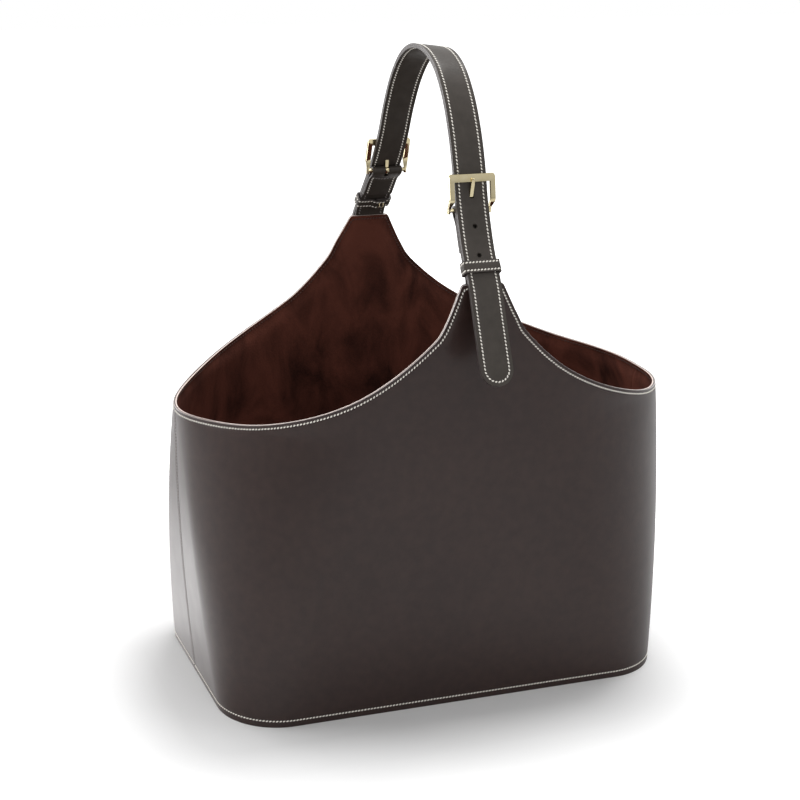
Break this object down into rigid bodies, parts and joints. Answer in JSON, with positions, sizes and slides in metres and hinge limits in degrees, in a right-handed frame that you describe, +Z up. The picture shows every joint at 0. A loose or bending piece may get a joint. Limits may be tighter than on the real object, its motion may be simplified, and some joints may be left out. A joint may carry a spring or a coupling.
{
  "type": "magazine basket",
  "caption": "Oval open-topped leather tub of stiff lined panels whose long sides sweep up to narrow necks, joined by an arched strap handle with buckles and keeper loops.",
  "frame": {"origin": "on the ground under the middle of the tub", "axes": "+X along the tub's length, -Y towards the front, +Z up through the handle"},
  "size_m": [0.38, 0.3022, 0.4764],
  "materials": {
    "outer_leather": "smooth dark brown leather, satin",
    "leatherboard": "bonded leather fibre board, matt tan",
    "suede_lining": "reddish brown suede, matt",
    "strap_leather": "smooth dark grey-brown leather, satin",
    "strap_back_leather": "dark brown leather, matt",
    "pale_brass": "polished pale brass"
  },
  "bodies": {
    "basket": {"front_panel": "outer_leather", "rear_panel": "outer_leather", "base_panel": "outer_leather", "front_board": "leatherboard", "rear_board": "leatherboard", "base_board": "leatherboard", "front_lining": "suede_lining", "rear_lining": "suede_lining", "base_lining": "suede_lining", "handle_strap_outer": "strap_leather", "handle_strap_lining": "strap_back_leather", "front_chape": "strap_leather", "rear_chape": "strap_leather"},
    "front_frame": {"front_buckle_frame": "pale_brass"},
    "front_prong": {"front_buckle_prong": "pale_brass"},
    "front_loop": {"front_keeper": "strap_leather", "front_keeper_staple_left": "pale_brass", "front_keeper_staple_right": "pale_brass"},
    "rear_frame": {"rear_buckle_frame": "pale_brass"},
    "rear_prong": {"rear_buckle_prong": "pale_brass"},
    "rear_loop": {"rear_keeper": "strap_leather", "rear_keeper_staple_left": "pale_brass", "rear_keeper_staple_right": "pale_brass"}
  },
  "joints": [
    {"name": "front_frame_pivot", "type": "hinge", "parent": "basket", "child": "front_frame", "pos_m": [0, -0.08709, 0.37144], "axis": [1, 0, 0], "range_deg": [0, 2.5]},
    {"name": "front_prong_pivot", "type": "hinge", "parent": "front_frame", "child": "front_prong", "pos_m": [0, -0.08709, 0.37144], "axis": [1, 0, 0], "range_deg": [0, 2.5]},
    {"name": "front_keeper_slide", "type": "slide", "parent": "basket", "child": "front_loop", "axis": [0, 0.5873, 0.8094], "range_m": [0, 0.006]},
    {"name": "rear_frame_pivot", "type": "hinge", "parent": "basket", "child": "rear_frame", "pos_m": [0, 0.07728, 0.3681], "axis": [-1, 0, 0], "range_deg": [0, 2.5]},
    {"name": "rear_prong_pivot", "type": "hinge", "parent": "rear_frame", "child": "rear_prong", "pos_m": [0, 0.07728, 0.3681], "axis": [-1, 0, 0], "range_deg": [0, 2.5]},
    {"name": "rear_keeper_slide", "type": "slide", "parent": "basket", "child": "rear_loop", "axis": [0, -0.6596, 0.7516], "range_m": [-0.006, 0.006]}
  ]
}
